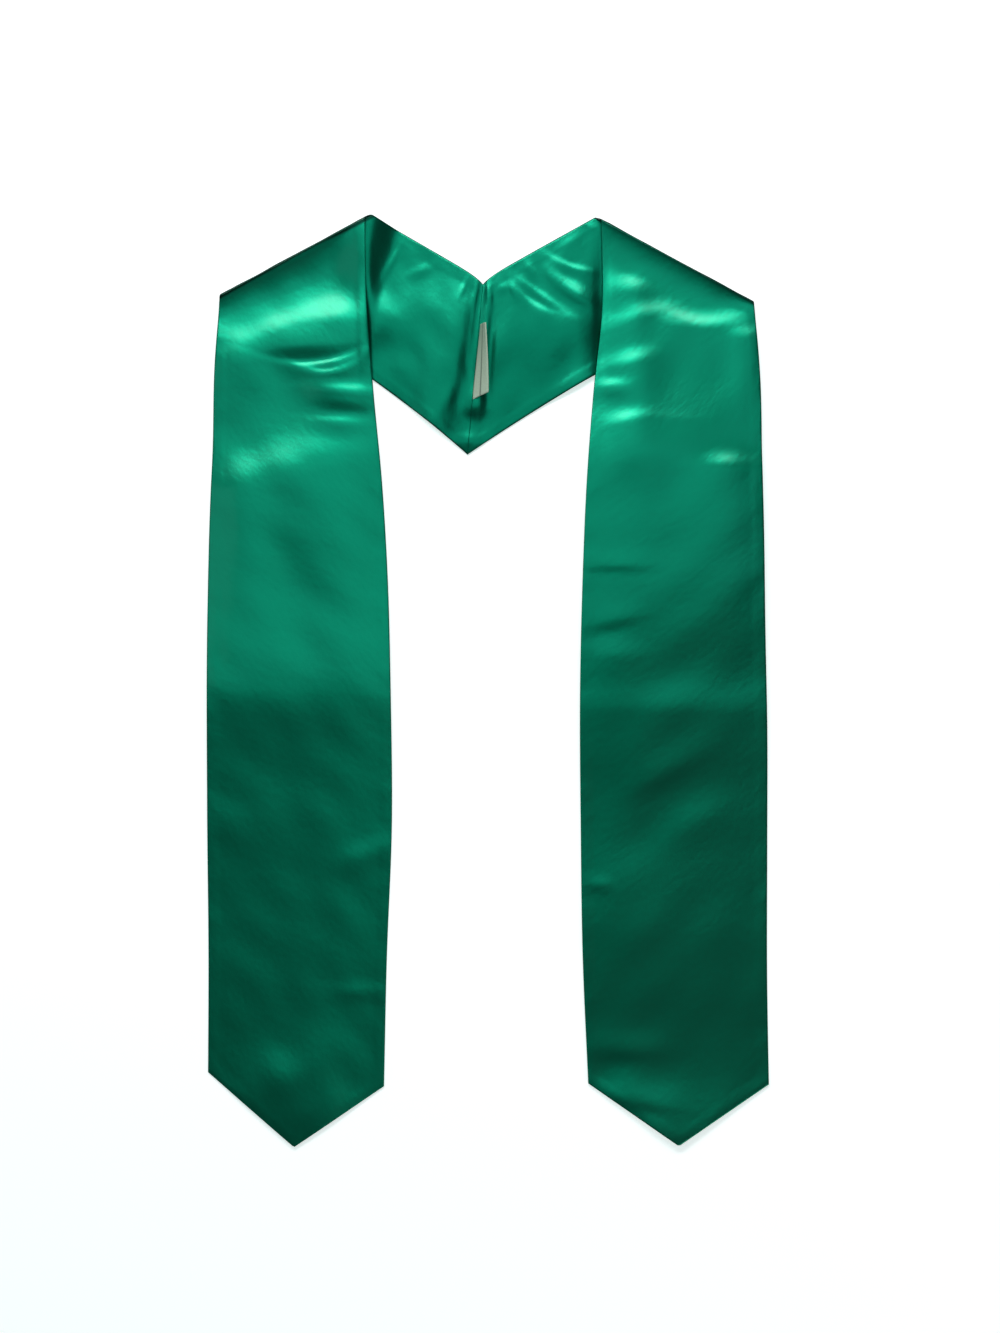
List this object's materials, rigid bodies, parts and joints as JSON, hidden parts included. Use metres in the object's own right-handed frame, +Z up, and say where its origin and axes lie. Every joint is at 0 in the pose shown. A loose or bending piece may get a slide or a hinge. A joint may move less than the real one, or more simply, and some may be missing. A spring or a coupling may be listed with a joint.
{
  "type": "graduation stole",
  "caption": "Plain green satin graduation stole laid flat, its pointed front panels folded forward over a V-shaped back yoke, with a bare care label in the back seam.",
  "frame": {"origin": "Centre of the laid stole, on the surface that it lies on.", "axes": "+X runs across the stole to the right as seen from above, +Y along the panels from the hem points to the shoulder folds, +Z up from the table."},
  "size_m": [0.3872, 0.6415, 0.0154],
  "materials": {
    "satin_face": "glossy satin",
    "satin_lining": "glossy satin",
    "label_ribbon": "matt woven ribbon"
  },
  "bodies": {
    "root": {"left_face": "satin_face", "left_lining": "satin_lining", "right_face": "satin_face", "right_lining": "satin_lining", "care_label": "label_ribbon"}
  },
  "joints": []
}
